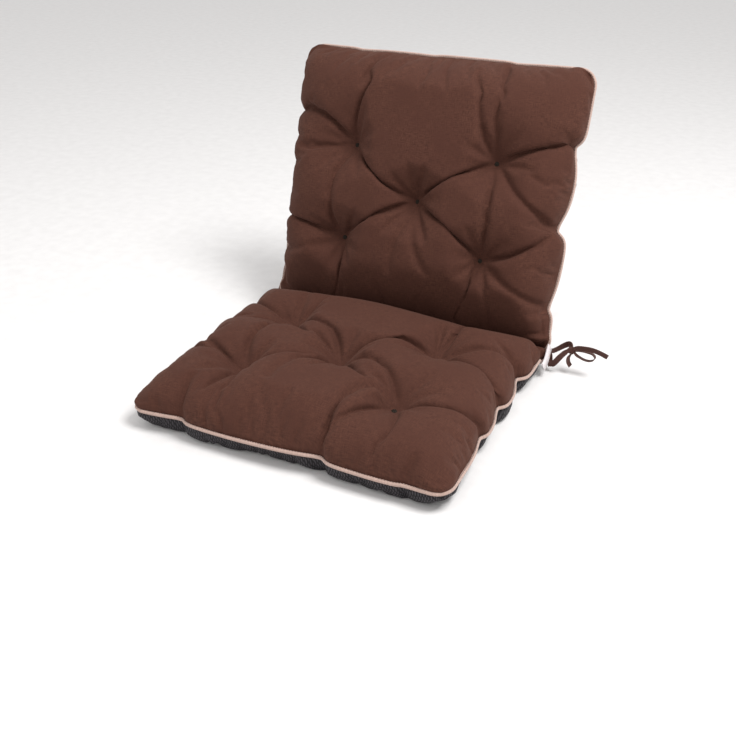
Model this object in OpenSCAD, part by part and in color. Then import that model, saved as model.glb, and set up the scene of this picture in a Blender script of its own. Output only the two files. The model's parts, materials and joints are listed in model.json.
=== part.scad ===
// Tufted chair pad: a seat cushion and a back cushion joined at a sewn fold.
// +Z is up and -Y is the front of the seat. The origin is the centre of the seat's underside.
// Both cushions are built lying flat, one on each side of the fold, and the back is then lifted.

/* [Overall] */
// Width over the piping
pad_w = 500; // [400:5:600]
// Seat length from the front piping to the fold
seat_l = 440; // [360:5:540]
// Back length from the fold to the top piping
back_l = 440; // [360:5:620]
// Angle that the back leans behind the vertical
recline = 19; // [5:1:40]

/* [Cushions] */
// Crown of the top and front panels above the seam
crown_h = 52; // [35:1:70]
// Depth of the underside and rear panels below the seam
under_h = 30; // [20:1:40]
// Outline radius at the corners away from the fold
corner_r = 42; // [20:1:70]
// Outline radius at the corners beside the fold
fold_corner_r = 8; // [4:1:20]
// Cloth thickness of the panels
cloth_t = 1.2; // [0.8:0.1:2]
// Width of the seam allowance turned in at the edge of a panel
allowance = 6; // [4:0.5:10]
// Space between a panel and the fill
fill_gap = 0.3; // [0.2:0.1:1]

/* [Piping] */
// Radius of the piping bead
bead_r = 3.5; // [2.5:0.1:5]
// Radius of the cord inside the piping
core_r = 2.5; // [1.5:0.1:3]
// Thickness of the piping's sewn lip
lip_t = 1; // [0.6:0.1:1.6]

/* [Tufts] */
// Distance of the outer tufts from the middle, across the pad
tuft_x = 122; // [80:1:140]
// Distance of the outer tufts from the centre tuft, along the cushion
tuft_y = 77; // [60:1:100]
// Distance of the seat's centre tuft in front of the seat's middle
seat_tuft_shift = 25; // [0:1:30]
// Distance of the back's centre tuft below the back's middle
back_tuft_shift = 18; // [0:1:30]
// Height of a top button's seat above the seam
tuft_top = 29; // [10:1:32]
// Depth of an underside button's seat below the seam
tuft_under = 17; // [8:1:18]
// Radius of a tuft button
button_r = 4.5; // [3:0.5:8]
// Height of a tuft button
button_h = 3; // [2:0.5:5]
// Radius of the tufting twine
twine_r = 0.8; // [0.5:0.1:1.2]

/* [Fold and label] */
// Radius of the stitched strip along the fold
fold_r = 3; // [2:0.5:3]
// Distance of the panels' edges from the fold line
fold_gap = 4.5; // [4.5:0.5:8]
// Length of the care label
label_l = 40; // [20:1:60]
// Width of the care label
label_w = 16; // [8:1:18]
// Thickness of the folded care label
label_t = 0.8; // [0.5:0.1:2]

/* [Ties] */
// Width of the tie tape
tape_w = 9; // [6:0.5:12]
// Thickness of the tie tape
tape_t = 1.4; // [0.8:0.1:2]

/* [Hidden] */
$fn = 64;

brown = "#5d3d35";
piping_pink = "#c9a79d";
mesh_black = "#2b262b";
fill_white = "#eee9e0";
olive = "#3a3226";

seam_z = under_h;
fold_y = seat_l / 2;
// The bead's centre line lies bead_r inside the overall size, and the panels' edge touches the bead.
panel_in = 2 * bead_r;
panel_w = pad_w - 2 * panel_in;
// The underside is flat inside this share of the outline.
flat_share = 0.72;
crown_power = 3;
RINGS = 12;
CORNER_STEPS = 6;
overlap = 0.01;

// The five tufts: four outer ones, then the centre.
tufts = [[-1, -1], [1, -1], [-1, 1], [1, 1], [0, 0]];
// The centre tuft's place along a cushion that lies flat with its fold on the +Y side.
seat_tuft_mid = -seat_tuft_shift;
back_tuft_mid = back_tuft_shift;
// A tuft's well widens from the button's seat to the crown.
well_r = button_r + 2;
well_slope = 0.9;
well_over = 5;
twine_clear = 0.3;
// A button's rim is this high, and its top is an arc that rises from the rim to the full height.
button_rim = button_h / 3;
dome_rise = button_h - button_rim;
dome_r = (button_r * button_r + dome_rise * dome_rise) / (2 * dome_rise);
button_gap = 0.05;
// The care label's slant, and where its upper end lies beside the fold corner.
label_drop = 32;
label_clear = 1.5;
label_back = 6;
label_rise = 11;

// Angle by which the flat back is lifted to its rest pose.
lift = 90 - recline;

// ---- Outlines and closed forms -------------------------------------------------------------

function arc(cx, cy, r, from) =
    [for (i = [0:CORNER_STEPS]) let (a = from + 90 * i / CORNER_STEPS) [cx + r * cos(a), cy + r * sin(a)]];

// Outline of one cushion lying flat, seen from above and counter-clockwise, centred on its own middle.
// The fold is on its +Y side. `inset` moves every edge inwards.
function outline(l, inset) =
    let (
        x = panel_w / 2 - inset,
        front = -l / 2 + panel_in + inset,
        rear = l / 2 - fold_gap - inset,
        r = max(corner_r - inset, 1),
        q = max(fold_corner_r - inset, 1)
    )
    concat(
        arc(x - q, rear - q, q, 0),
        arc(-x + q, rear - q, q, 90),
        arc(-x + r, front + r, r, 180),
        arc(x - r, front + r, r, 270)
    );

// Crowned upper profile from the middle to the edge, as [share of the outline, height].
function crown_profile(h) = [for (i = [0:RINGS]) let (s = i / RINGS) [s, h * (1 - pow(s, crown_power))]];

// Rounded lower profile from the edge to the flat, as [share of the outline, height].
function under_profile(h) =
    [for (i = [0:RINGS / 2]) let (a = 180 * i / RINGS) [1 - (1 - flat_share) * (1 - cos(a)), -h * sin(a)]];

// Closed solid whose rings are the outline scaled about its middle. The first and last profile
// points are capped: a share of 0 closes on one point.
module ringed_solid(shape, profile) {
    n = len(shape);
    rings = [for (p = profile) if (p[0] > 0) p];
    top = profile[0][1];
    bottom = profile[len(profile) - 1][1];
    points = concat(
        [for (p = rings) for (q = shape) [q[0] * p[0], q[1] * p[0], p[1]]],
        [[0, 0, top], [0, 0, bottom]]
    );
    pole = len(rings) * n;
    last = (len(rings) - 1) * n;
    sides = [for (k = [0:len(rings) - 2]) for (i = [0:n - 1])
        let (a = k * n + i, b = k * n + (i + 1) % n) each [[a, b, a + n], [b, b + n, a + n]]];
    caps = [for (i = [0:n - 1]) each [[pole, (i + 1) % n, i], [pole + 1, last + i, last + (i + 1) % n]]];
    polyhedron(points, concat(sides, caps), convexity = 6);
}

module upper_form(l, h, inset) {
    ringed_solid(outline(l, inset), concat(crown_profile(h), [[0, 0]]));
}

module lower_form(l, h, inset) {
    ringed_solid(outline(l, inset), concat([[0, 0]], under_profile(h), [[0, -h]]));
}

module whole_form(l, up, down, inset) {
    below = [for (p = under_profile(down)) if (p[1] < 0) p];
    ringed_solid(outline(l, inset), concat(crown_profile(up), below, [[0, -down]]));
}

// Places its children at tuft k of a cushion whose centre tuft is at mid.
module tuft_at(k, mid) {
    translate([tufts[k - 1][0] * tuft_x, tufts[k - 1][1] * tuft_y + mid, 0]) children();
}

// Wells that the tufts press into a form: side is 1 for the upper panel and -1 for the lower one.
module wells(mid, side, floor_z, reach, r) {
    deep = reach + well_over - floor_z;
    for (k = [1:len(tufts)])
        tuft_at(k, mid)
            rotate([side > 0 ? 0 : 180, 0, 0])
                translate([0, 0, floor_z])
                    cylinder(h = deep, r1 = r, r2 = r + deep * well_slope);
}

module twine_holes(mid, z) {
    for (k = [1:len(tufts)])
        tuft_at(k, mid)
            translate([0, 0, -z])
                cylinder(h = 2 * z, r = twine_r + twine_clear);
}

// ---- Panels and fill, flat and with the seam plane at Z 0 -----------------------------------

module upper_panel(l, mid) {
    translate([0, 0, lip_t / 2])
        difference() {
            upper_form(l, crown_h, 0);
            difference() {
                translate([0, 0, -overlap]) upper_form(l, crown_h - cloth_t, allowance);
                wells(mid, 1, tuft_top - cloth_t, crown_h, well_r + cloth_t);
            }
            wells(mid, 1, tuft_top, crown_h, well_r);
            twine_holes(mid, crown_h);
        }
}

module lower_panel(l, mid) {
    depth = under_h - lip_t / 2;
    translate([0, 0, -lip_t / 2])
        difference() {
            lower_form(l, depth, 0);
            difference() {
                translate([0, 0, overlap]) lower_form(l, depth - cloth_t, allowance);
                wells(mid, -1, tuft_under - cloth_t, depth, well_r + cloth_t);
            }
            wells(mid, -1, tuft_under, depth, well_r);
            twine_holes(mid, under_h);
        }
}

module fill(l, mid) {
    inner = allowance + fill_gap;
    skin = cloth_t + fill_gap;
    difference() {
        whole_form(l, crown_h - skin, under_h - skin, inner);
        wells(mid, 1, tuft_top - skin, crown_h, well_r + skin);
        wells(mid, -1, tuft_under - skin, under_h, well_r + skin);
        twine_holes(mid, crown_h);
    }
}

// ---- Piping: a bead with a sewn lip, round three sides of a cushion -------------------------

module bead_profile() {
    difference() {
        union() {
            circle(r = bead_r);
            translate([-bead_r - allowance, -lip_t / 2]) square([allowance + bead_r, lip_t]);
        }
        circle(r = core_r);
    }
}

// Sweeps a profile along the two sides and the front. The profile's +X points outwards.
module piping_run(l) {
    x = pad_w / 2 - bead_r;
    front = -l / 2 + bead_r;
    r = corner_r + bead_r;
    // Far enough from the fold for the beads of both cushions to clear each other when folded.
    rear = l / 2 - fold_gap - bead_r;
    for (side = [1, -1]) {
        mirror([side < 0 ? 1 : 0, 0, 0]) {
            translate([x, front + r, 0])
                rotate([-90, 0, 0])
                    linear_extrude(rear - front - r)
                        mirror([0, 1, 0]) children();
            translate([x - r, front + r, 0])
                rotate([0, 0, -90])
                    rotate_extrude(angle = 90)
                        translate([r, 0]) children();
            translate([0, front, 0])
                rotate([90, 0, 90])
                    linear_extrude(x - r)
                        mirror([1, 0, 0]) children();
        }
    }
}

// ---- Tufts --------------------------------------------------------------------------------

module button() {
    rotate_extrude()
        intersection() {
            translate([0, button_h - dome_r]) circle(r = dome_r);
            square([button_r, button_h]);
        }
}

module upper_button(k, mid) {
    tuft_at(k, mid) translate([0, 0, lip_t / 2 + tuft_top + button_gap]) button();
}

module lower_button(k, mid) {
    tuft_at(k, mid) translate([0, 0, -lip_t / 2 - tuft_under - button_gap]) mirror([0, 0, 1]) button();
}

module twine(k, mid) {
    tuft_at(k, mid)
        translate([0, 0, -tuft_under - lip_t / 2])
            cylinder(h = tuft_top + tuft_under + lip_t, r = twine_r);
}

// ---- Placing the two cushions ---------------------------------------------------------------

module on_seat() {
    translate([0, 0, seam_z]) children();
}

// The back is built as a seat turned end for end, so its own fold side meets the fold.
module on_back() {
    translate([0, fold_y, seam_z])
        rotate([lift, 0, 0])
            translate([0, back_l / 2, 0])
                mirror([0, 1, 0]) children();
}

module seat_top_panel() { color(brown) on_seat() upper_panel(seat_l, seat_tuft_mid); }
module seat_under_panel() { color(mesh_black) on_seat() lower_panel(seat_l, seat_tuft_mid); }
module seat_fill() { color(fill_white) on_seat() fill(seat_l, seat_tuft_mid); }
module seat_piping() { color(piping_pink) on_seat() piping_run(seat_l) bead_profile(); }
module seat_piping_cord() { color(fill_white) on_seat() piping_run(seat_l) circle(r = core_r); }
module seat_button(k) { color(olive) on_seat() upper_button(k, seat_tuft_mid); }
module seat_under_button(k) { color(olive) on_seat() lower_button(k, seat_tuft_mid); }
module seat_twine(k) { color(olive) on_seat() twine(k, seat_tuft_mid); }

module back_front_panel() { color(brown) on_back() upper_panel(back_l, back_tuft_mid); }
module back_rear_panel() { color(brown) on_back() lower_panel(back_l, back_tuft_mid); }
module back_fill() { color(fill_white) on_back() fill(back_l, back_tuft_mid); }
module back_piping() { color(piping_pink) on_back() piping_run(back_l) bead_profile(); }
module back_piping_cord() { color(fill_white) on_back() piping_run(back_l) circle(r = core_r); }
module back_button(k) { color(olive) on_back() upper_button(k, back_tuft_mid); }
module back_rear_button(k) { color(olive) on_back() lower_button(k, back_tuft_mid); }
module back_twine(k) { color(olive) on_back() twine(k, back_tuft_mid); }

// The doubled and stitched cloth along the fold line.
module fold_strip() {
    color(brown)
        translate([-pad_w / 2, fold_y, seam_z])
            rotate([0, 90, 0])
                cylinder(h = pad_w, r = fold_r);
}

// Blank care label, sewn in the right seam beside the fold and slanting forwards and down.
module care_label() {
    color("white")
        translate([pad_w / 2 + label_clear, fold_y - label_back, seam_z + label_rise])
            rotate([label_drop, 0, 0])
                translate([0, -label_l, -label_w / 2])
                    cube([label_t, label_l, label_w]);
}

// ---- Ties: two tapes at each fold corner, knotted beyond the chair's rear leg -----------------

// Routes for the right-hand corner. Each point is [x, y, z] from the fold corner of the pad. The
// list beside it gives the tape's width direction, whose length is the share of the full width:
// the tape is gathered where it runs through the knot.
front_route = [
    [0, -1.5, 0], [2.5, -1.5, -0.5], [5, -3, -6], [7, -8, -14], [9, -13, -20], [13, -15, -15],
    [18, -15, -8], [24, -13, 1], [31, -9, 9], [38, -6, 14], [48, -6, 18], [59, -7, 20],
    [70, -8, 21], [80, -9, 20], [89, -10, 18], [97, -10, 15]
];
front_width = [
    [0, 0, 0.7], [0, 0, 0.7], [0.5, 0, 0.8], [0.4, 0.6, 0.5], [0.5, 0.6, 0], [0.9, 0, -0.4],
    [0.9, 0, -0.5], [0.8, 0, -0.6], [0.6, 0, -0.6], [0.1, 0, -0.4], [0, 0.1, -0.9], [0, 0.2, -1],
    [0, 0.2, -1], [0, 0.2, -1], [0, 0.2, -1], [0, 0.2, -1]
];
rear_route = [
    [0, 1.5, 0], [2.5, 1.8, 0], [7, 7, -2], [14, 13, 1], [22, 15, 7], [30, 12, 13],
    [36, 5, 15], [40, -2, 11], [47, -6, 6], [55, -6, 2], [62, -6, 0], [69, -6, 0],
    [75, -6, 3], [77, -6, 8], [73, -5, 12], [66, -4, 13], [57, -3, 13], [49, -2, 12],
    [43, 1, 8], [38, -1, 3], [35, -5, -3], [36, -6, -10], [40, -6, -16]
];
rear_width = [
    [0, 0, 0.7], [0, 0, 0.7], [0, 0, 1], [0, 0, 1], [0.1, 0, 1], [0.2, 0, 1],
    [0, 0.2, 0.8], [0.2, 0, 0.3], [0, 0.8, 0], [0, 1, -0.2], [0, 1, -0.2], [0, 1, -0.2],
    [0, 1, -0.2], [0, 1, -0.2], [0, 1, -0.2], [0, 1, -0.2], [0, 1, -0.2], [0, 0.7, 0],
    [0.2, 0.3, 0], [0.2, 0.3, 0], [0.4, 0.8, 0], [0.4, 0.9, 0], [0.4, 0.9, 0]
];
knot_at = [38, -2, 10];
knot_r = 5;
knot_l = 5;
// The left tie goes round a leg behind its corner: its routes start at the corner as the right ones
// do, and then run to the rear, this far beyond the pad's side, leaning outwards and closer together.
left_gap = 6;
left_lean = 0.12;
left_spread = 0.4;
// A point this far along the right-hand route is fully turned on the left.
left_turned_at = 10;
// Rings between two points of a route.
TAPE_STEPS = 3;

function unit(v) = v / norm(v);

// How far the left route is turned at a point of the right one, from 0 to 1.
function turned(p) = min(1, p.x / left_turned_at);
function to_rear(p) =
    let (t = turned(p)) [left_gap * t + left_lean * p.x - left_spread * p.y * t, p.x + p.y * (1 - t), p.z];
function way_to_rear(p, w) =
    let (t = turned(p)) [w.x * (1 - t) - w.y * t, w.x * t + w.y * (1 - t), w.z];

// Catmull-Rom curve through the route's points.
function curve_at(p, i, t) =
    let (
        n = len(p),
        a = p[max(i - 1, 0)],
        b = p[i],
        c = p[min(i + 1, n - 1)],
        d = p[min(i + 2, n - 1)]
    )
    (2 * b + (c - a) * t + (2 * a - 5 * b + 4 * c - d) * t * t + (3 * b - a - 3 * c + d) * t * t * t) / 2;

function along(p) = concat(
    [for (i = [0:len(p) - 2]) for (k = [0:TAPE_STEPS - 1]) curve_at(p, i, k / TAPE_STEPS)],
    [p[len(p) - 1]]
);

// Eight-sided flat section of the tape, as shares of half its width and half its thickness.
tape_section = [[1, 0.5], [0.8, 1], [-0.8, 1], [-1, 0.5], [-1, -0.5], [-0.8, -1], [0.8, -1], [1, -0.5]];

module tape(route, widths) {
    path = along(route);
    wide = along(widths);
    m = len(path);
    n = len(tape_section);
    rings = [for (i = [0:m - 1])
        let (
            way = unit(path[min(i + 1, m - 1)] - path[max(i - 1, 0)]),
            side = unit(wide[i] - (wide[i] * way) * way),
            face = cross(way, side)
        )
        for (s = tape_section) path[i] + side * s[0] * norm(wide[i]) * tape_w / 2 + face * s[1] * tape_t / 2];
    sides = [for (k = [0:m - 2]) for (i = [0:n - 1])
        let (a = k * n + i, b = k * n + (i + 1) % n) each [[a, b, a + n], [b, b + n, a + n]]];
    first = [for (i = [n - 1:-1:0]) i];
    final = [for (i = [0:n - 1]) (m - 1) * n + i];
    polyhedron(rings, concat(sides, [first, final]), convexity = 8);
}

module at_fold_corner(side) {
    mirror([side < 0 ? 1 : 0, 0, 0])
        translate([pad_w / 2, fold_y, seam_z])
            children();
}

module tie_tape(side, route, widths) {
    color(brown)
        at_fold_corner(side)
            if (side > 0) tape(route, widths);
            else tape(
                [for (p = route) to_rear(p)],
                [for (i = [0:len(route) - 1]) way_to_rear(route[i], widths[i])]
            );
}

module tie_front_tape(side) { tie_tape(side, front_route, front_width); }
module tie_rear_tape(side) { tie_tape(side, rear_route, rear_width); }
module tie_knot(side) {
    centre = side > 0 ? knot_at : to_rear(knot_at);
    half = side > 0 ? [knot_l / 2, 0, 0] : way_to_rear(knot_at, [knot_l / 2, 0, 0]);
    color(brown)
        at_fold_corner(side)
            hull()
                for (end = [-1, 1]) translate(centre + end * half) sphere(r = knot_r, $fn = 24);
}

seat_top_panel();
seat_under_panel();
seat_fill();
seat_piping();
seat_piping_cord();
back_front_panel();
back_rear_panel();
back_fill();
back_piping();
back_piping_cord();
fold_strip();
care_label();
tie_front_tape(1);  // tie_right_front_tape
tie_rear_tape(1);  // tie_right_rear_tape
tie_knot(1);  // tie_right_knot
tie_front_tape(-1);  // tie_left_front_tape
tie_rear_tape(-1);  // tie_left_rear_tape
tie_knot(-1);  // tie_left_knot
for (k = [1:5]) {
    seat_button(k);
    seat_under_button(k);
    seat_twine(k);
    back_button(k);
    back_rear_button(k);
    back_twine(k);
}
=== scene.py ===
"""A tufted chair pad: seat and back cushions joined at a sewn fold, with piping, tufts and ties."""

import json
import math

import bmesh
import bpy
import numpy as np
from bpy.props import FloatProperty, FloatVectorProperty, IntProperty, PointerProperty
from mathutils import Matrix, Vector


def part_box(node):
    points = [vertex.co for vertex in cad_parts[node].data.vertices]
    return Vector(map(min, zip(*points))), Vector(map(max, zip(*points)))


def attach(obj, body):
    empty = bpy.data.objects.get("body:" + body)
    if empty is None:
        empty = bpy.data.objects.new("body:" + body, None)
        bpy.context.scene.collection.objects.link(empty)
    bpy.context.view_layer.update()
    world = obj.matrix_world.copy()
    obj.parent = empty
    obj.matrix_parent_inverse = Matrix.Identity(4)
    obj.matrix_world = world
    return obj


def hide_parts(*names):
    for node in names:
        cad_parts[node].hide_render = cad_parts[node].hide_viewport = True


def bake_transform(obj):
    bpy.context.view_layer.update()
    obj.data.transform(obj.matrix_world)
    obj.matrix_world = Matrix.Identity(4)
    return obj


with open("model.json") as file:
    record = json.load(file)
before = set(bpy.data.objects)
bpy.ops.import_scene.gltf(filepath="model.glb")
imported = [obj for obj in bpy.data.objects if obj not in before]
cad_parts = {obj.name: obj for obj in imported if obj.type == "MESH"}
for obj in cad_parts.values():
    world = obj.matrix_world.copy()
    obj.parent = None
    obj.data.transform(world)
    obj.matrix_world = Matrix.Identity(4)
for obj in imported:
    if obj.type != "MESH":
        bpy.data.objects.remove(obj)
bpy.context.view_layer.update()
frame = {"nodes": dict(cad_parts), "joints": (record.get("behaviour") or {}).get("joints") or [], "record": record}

bl_info = {
    "name": "Tufted Chair Pad",
    "version": (1, 0, 0),
    "blender": (4, 5, 0),
    "location": "3D View > Sidebar > Chair Pad",
    "description": "Makes a tufted seat and back pad with piping, buttons, ties and a care label",
    "category": "Object",
}

MM = 0.001


def linear(hex_colour):
    """The linear RGB of an sRGB hex colour such as #a0b0c0."""
    parts = [int(hex_colour[i : i + 2], 16) / 255 for i in (1, 3, 5)]
    return tuple(c / 12.92 if c <= 0.04045 else ((c + 0.055) / 1.055) ** 2.4 for c in parts)


# ---- Where the frame puts things ---------------------------------------------------------------

HINGE = next(j for j in frame["joints"] if j["name"] == "back_fold")
FOLD = np.array(HINGE["pos_m"], float)
REAR_FACE = next(m for m in frame["record"]["mounts"] if m["name"] == "back_rear_face")
REAR_NORMAL = np.array(REAR_FACE["axis"], float)
PIPING_LOW, PIPING_HIGH = (np.array(p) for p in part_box("seat_piping"))
BACK_PIPING_HIGH = np.array(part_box("back_piping")[1])
HALF_WIDTH = PIPING_HIGH[0]
# The bead is drawn a fifth slimmer than its solid, whose outer edge it keeps.
BEAD_R = 0.8 * (PIPING_HIGH[2] - PIPING_LOW[2]) / 2
SEAM_INSET = 1.1 * BEAD_R
SEAM_STEPS = 460
UNDER_TUFT_H = -17 * MM
BUTTON_H = 3 * MM

SEAT_ALONG = np.array((0.0, -1.0, 0.0))
SEAT_UP = np.array((0.0, 0.0, 1.0))
BACK_UP = -REAR_NORMAL
BACK_ALONG = np.array((0.0, BACK_UP[2], -BACK_UP[1]))
SEAT_LENGTH = FOLD[1] - PIPING_LOW[1]
BACK_LENGTH = (BACK_PIPING_HIGH[2] - FOLD[2] - 1.25 * BEAD_R) / BACK_ALONG[2] + 1.25 * BEAD_R
REST_ON_SEAT = FOLD[2]
REST_ON_BACK = float((np.array(REAR_FACE["pos_m"]) - FOLD) @ REAR_NORMAL)

# Across the plane that halves the angle between the cushions, from the seat's side to the back's.
ACROSS_FOLD = (BACK_ALONG - SEAT_ALONG) / np.linalg.norm(BACK_ALONG - SEAT_ALONG)
HALF_ANGLE = math.acos(float(SEAT_ALONG @ BACK_ALONG)) / 2


def turn_with_fold(piece):
    """Bakes the piece's world placement into its mesh; nothing here turns any part of it with the back."""
    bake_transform(piece)


# ---- Sizes and colours a maker would change ----------------------------------------------------


class PadSizes(bpy.types.PropertyGroup):
    corner_r: FloatProperty(
        name="Corner radius",
        description="Outline radius at the two corners away from the fold",
        default=26 * MM, min=20 * MM, max=70 * MM, unit="LENGTH",
    )
    crown: FloatProperty(
        name="Crown before filling",
        description="Height of the upper cloth above the seam before the filling swells it",
        default=37 * MM, min=15 * MM, max=60 * MM, unit="LENGTH",
    )
    tuft_dip: FloatProperty(
        name="Tuft height",
        description="Height of the cloth under a top button, above the seam",
        default=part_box("seat_button_5")[0][2] - FOLD[2] - 0.4 * MM, unit="LENGTH",
    )
    swell: FloatProperty(
        name="Spare cloth",
        description="Share by which the cloth is cut larger than the shape that it starts from",
        default=0.14, min=0.0, max=0.2, subtype="FACTOR",
    )
    pressure: FloatProperty(
        name="Filling pressure",
        description="Pressure of the filling on the cloth",
        default=90.0, min=0.0, max=400.0,
    )
    columns: IntProperty(
        name="Columns", description="Faces of a cushion's cloth across the pad", default=112, min=20, max=160
    )
    rows: IntProperty(
        name="Rows", description="Faces of a cushion's cloth along the cushion", default=98, min=20, max=160
    )
    cloth_t: FloatProperty(
        name="Cloth thickness", description="Thickness of the cover cloth", default=1.2 * MM, unit="LENGTH"
    )
    stitch_pitch: FloatProperty(
        name="Stitch pitch", description="Distance from one stitch to the next", default=4 * MM, unit="LENGTH"
    )
    tape_w: FloatProperty(
        name="Tape width", description="Full width of the tie tape", default=9 * MM, unit="LENGTH"
    )
    tape_t: FloatProperty(
        name="Tape thickness", description="Thickness of the tie tape", default=1.4 * MM, unit="LENGTH"
    )


def colour(name, description, default):
    """A colour property that starts at an sRGB hex colour."""
    return FloatVectorProperty(
        name=name, description=description, default=linear(default), size=3, min=0.0, max=1.0, subtype="COLOR"
    )


class PadColours(bpy.types.PropertyGroup):
    cloth: colour("Cover cloth", "Main colour of the brown cover cloth", "#492b22")
    cloth_dark: colour("Cover cloth, thin yarn", "Colour where the yarn is thin", "#331b15")
    cloth_light: colour("Cover cloth, slubs", "Colour of the thick slubs in the yarn", "#644033")
    grip: colour("Grip cloth", "Ground colour of the non-slip underside", "#191619")
    grip_dot: colour("Grip dots", "Colour of the raised dots on the underside", "#3b363b")
    piping: colour("Piping", "Colour of the bias-cut piping cloth", "#c4a79b")
    tape: colour("Tie tape", "Colour of the tie tape", "#4d2f28")
    label: colour("Care label", "Colour of the satin care label", "#e4dcdd")
    twine: colour("Button and twine", "Colour of the buttons' thread and of the twine", "#2c231a")
    thread: colour("Sewing thread", "Colour of the thread in the seams", "#50332b")


def sizes():
    return bpy.context.scene.pad_sizes


def colours():
    return bpy.context.scene.pad_colours


# ---- The two cushions in their own terms -------------------------------------------------------


class Cushion:
    """x runs across the pad, t from the fold to the far edge, and h out of the seam plane.

    Lengths are in mm. A kink is (place along the edge, pull inwards, side of the kink that eases off slowly).
    A crease is (depth, the three points that it runs through). A sway is (place, outwards, upwards) and
    shifts the seam at both sides. All three are given one by one.
    """

    def __init__(self, name, along, up, length, rest, kinks, creases, sway):
        self.name = name
        self.along = along
        self.up = up
        self.length = length
        self.rest = rest
        self.kinks = kinks
        self.creases = creases
        self.sway = sway
        self.flip = float(np.cross((1.0, 0.0, 0.0), along) @ up) < 0

    def place(self, points):
        """Points (x, t, h) in the frame's own axes."""
        p = np.asarray(points, float)
        return FOLD + np.stack([p[..., 0], 0 * p[..., 0], 0 * p[..., 0]], -1) + (
            p[..., 1:2] * self.along + p[..., 2:3] * self.up
        )

    def measure(self, points):
        """The (x, t, h) of points given in the frame's axes."""
        d = np.asarray(points, float) - FOLD
        return np.stack([d[..., 0], d @ self.along, d @ self.up], -1)

    def tufts(self):
        """The five tufts as (x, t), the centre one last, where the frame has its buttons."""
        found = []
        for k in range(1, 6):
            low, high = (np.array(p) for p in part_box(f"{self.name}_button_{k}"))
            x, t, _ = self.measure((low + high) / 2)
            found.append((float(x), float(t)))
        return found


SEAT = Cushion(
    "seat", SEAT_ALONG, SEAT_UP, SEAT_LENGTH, REST_ON_SEAT,
    kinks={
        "far": [(-160, 9, -1), (64, 10, -1), (186, 3, 1)],
        "right": [(112, 15, 1), (208, 12, 1), (290, 9, 1)],
        "left": [(108, 9, -1), (248, 10, 1), (345, 3, 1)],
    },
    creases=[
        (7, [(-122, 322), (-136, 250), (-122, 168)]),
        (8, [(-122, 168), (-46, 188), (0, 245)]),
        (9, [(0, 245), (78, 262), (122, 322)]),
        (7, [(0, 245), (50, 190), (122, 168)]),
        (9, [(122, 322), (66, 330), (64, 438)]),
        (6, [(-122, 322), (-158, 360), (-160, 438)]),
        (6, [(122, 322), (186, 310), (242, 290)]),
        (6, [(122, 168), (186, 134), (236, 112)]),
        (5, [(122, 168), (180, 190), (240, 208)]),
        (5, [(-122, 322), (-190, 290), (-246, 248)]),
        (5, [(-122, 168), (-190, 140), (-246, 108)]),
        (5, [(-122, 168), (-134, 110), (-150, 40)]),
        (4, [(-122, 168), (-100, 110), (-92, 40)]),
        (5, [(122, 168), (128, 110), (120, 30)]),
        (4, [(0, 245), (-40, 300), (-48, 360)]),
        (4, [(122, 322), (140, 360), (142, 400)]),
    ],
    sway=[(26, -2, -9), (14, 8, -2)],
)

BACK = Cushion(
    "back", BACK_ALONG, BACK_UP, BACK_LENGTH, REST_ON_BACK,
    kinks={
        "far": [(-150, 2, 1), (-20, 1.5, -1), (120, 2, 1)],
        "right": [(320, 13, -1), (190, 17, 1), (66, 9, 1)],
        "left": [(150, 5, 1), (322, 5, -1), (60, 3, 1)],
    },
    creases=[
        (9, [(-122, 279), (-60, 232), (0, 202)]),
        (9, [(0, 202), (58, 246), (122, 279)]),
        (9, [(122, 279), (180, 304), (240, 322)]),
        (9, [(-122, 279), (-180, 320), (-246, 322)]),
        (8, [(122, 279), (126, 200), (122, 125)]),
        (6, [(-122, 279), (-140, 200), (-122, 125)]),
        (7, [(0, 202), (-60, 170), (-122, 125)]),
        (6, [(0, 202), (64, 170), (122, 125)]),
        (6, [(122, 279), (176, 226), (236, 192)]),
        (5, [(122, 279), (96, 320), (84, 366)]),
        (5, [(-122, 279), (-116, 330), (-96, 372)]),
        (6, [(122, 125), (180, 150), (236, 188)]),
        (6, [(122, 125), (180, 92), (238, 72)]),
        (6, [(-122, 125), (-180, 140), (-244, 150)]),
        (5, [(-122, 125), (-180, 100), (-240, 92)]),
        (5, [(122, 125), (110, 80), (92, 30)]),
        (5, [(122, 125), (140, 80), (150, 30)]),
        (4, [(-122, 125), (-118, 70), (-130, 26)]),
        (4, [(0, 202), (12, 140), (40, 96)]),
        (4, [(0, 202), (-14, 140), (-20, 90)]),
    ],
    sway=[(16, 3, 2)],
)

CUSHIONS = (SEAT, BACK)


def gentle_hill(distance, width):
    return 1 / (1 + (distance / width) ** 2) ** 1.5


def pull_in(places, kinks):
    """How far the kinks pull the seam in at each place along an edge. One flank of a kink is steep."""
    steep, slow = 11 * MM, 40 * MM
    total = np.zeros_like(places)
    for at, depth, slow_side in kinks:
        d = places - at * MM
        width = np.where(d * slow_side > 0, slow, steep)
        total += depth * MM * gentle_hill(d, width)
    return total


def arc_points(centre, radius, start, stop, steps):
    a = np.radians(np.linspace(start, stop, steps + 1))
    return np.stack([centre[0] + radius * np.cos(a), centre[1] + radius * np.sin(a)], -1)


def even_steps(points, steps):
    """The polyline's points again, at equal distances."""
    lengths = np.linalg.norm(np.diff(points, axis=0), axis=1)
    at = np.concatenate([[0], np.cumsum(lengths)])
    wanted = np.linspace(0, at[-1], steps + 1)
    return np.stack([np.interp(wanted, at, points[:, k]) for k in range(points.shape[1])], -1)


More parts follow.
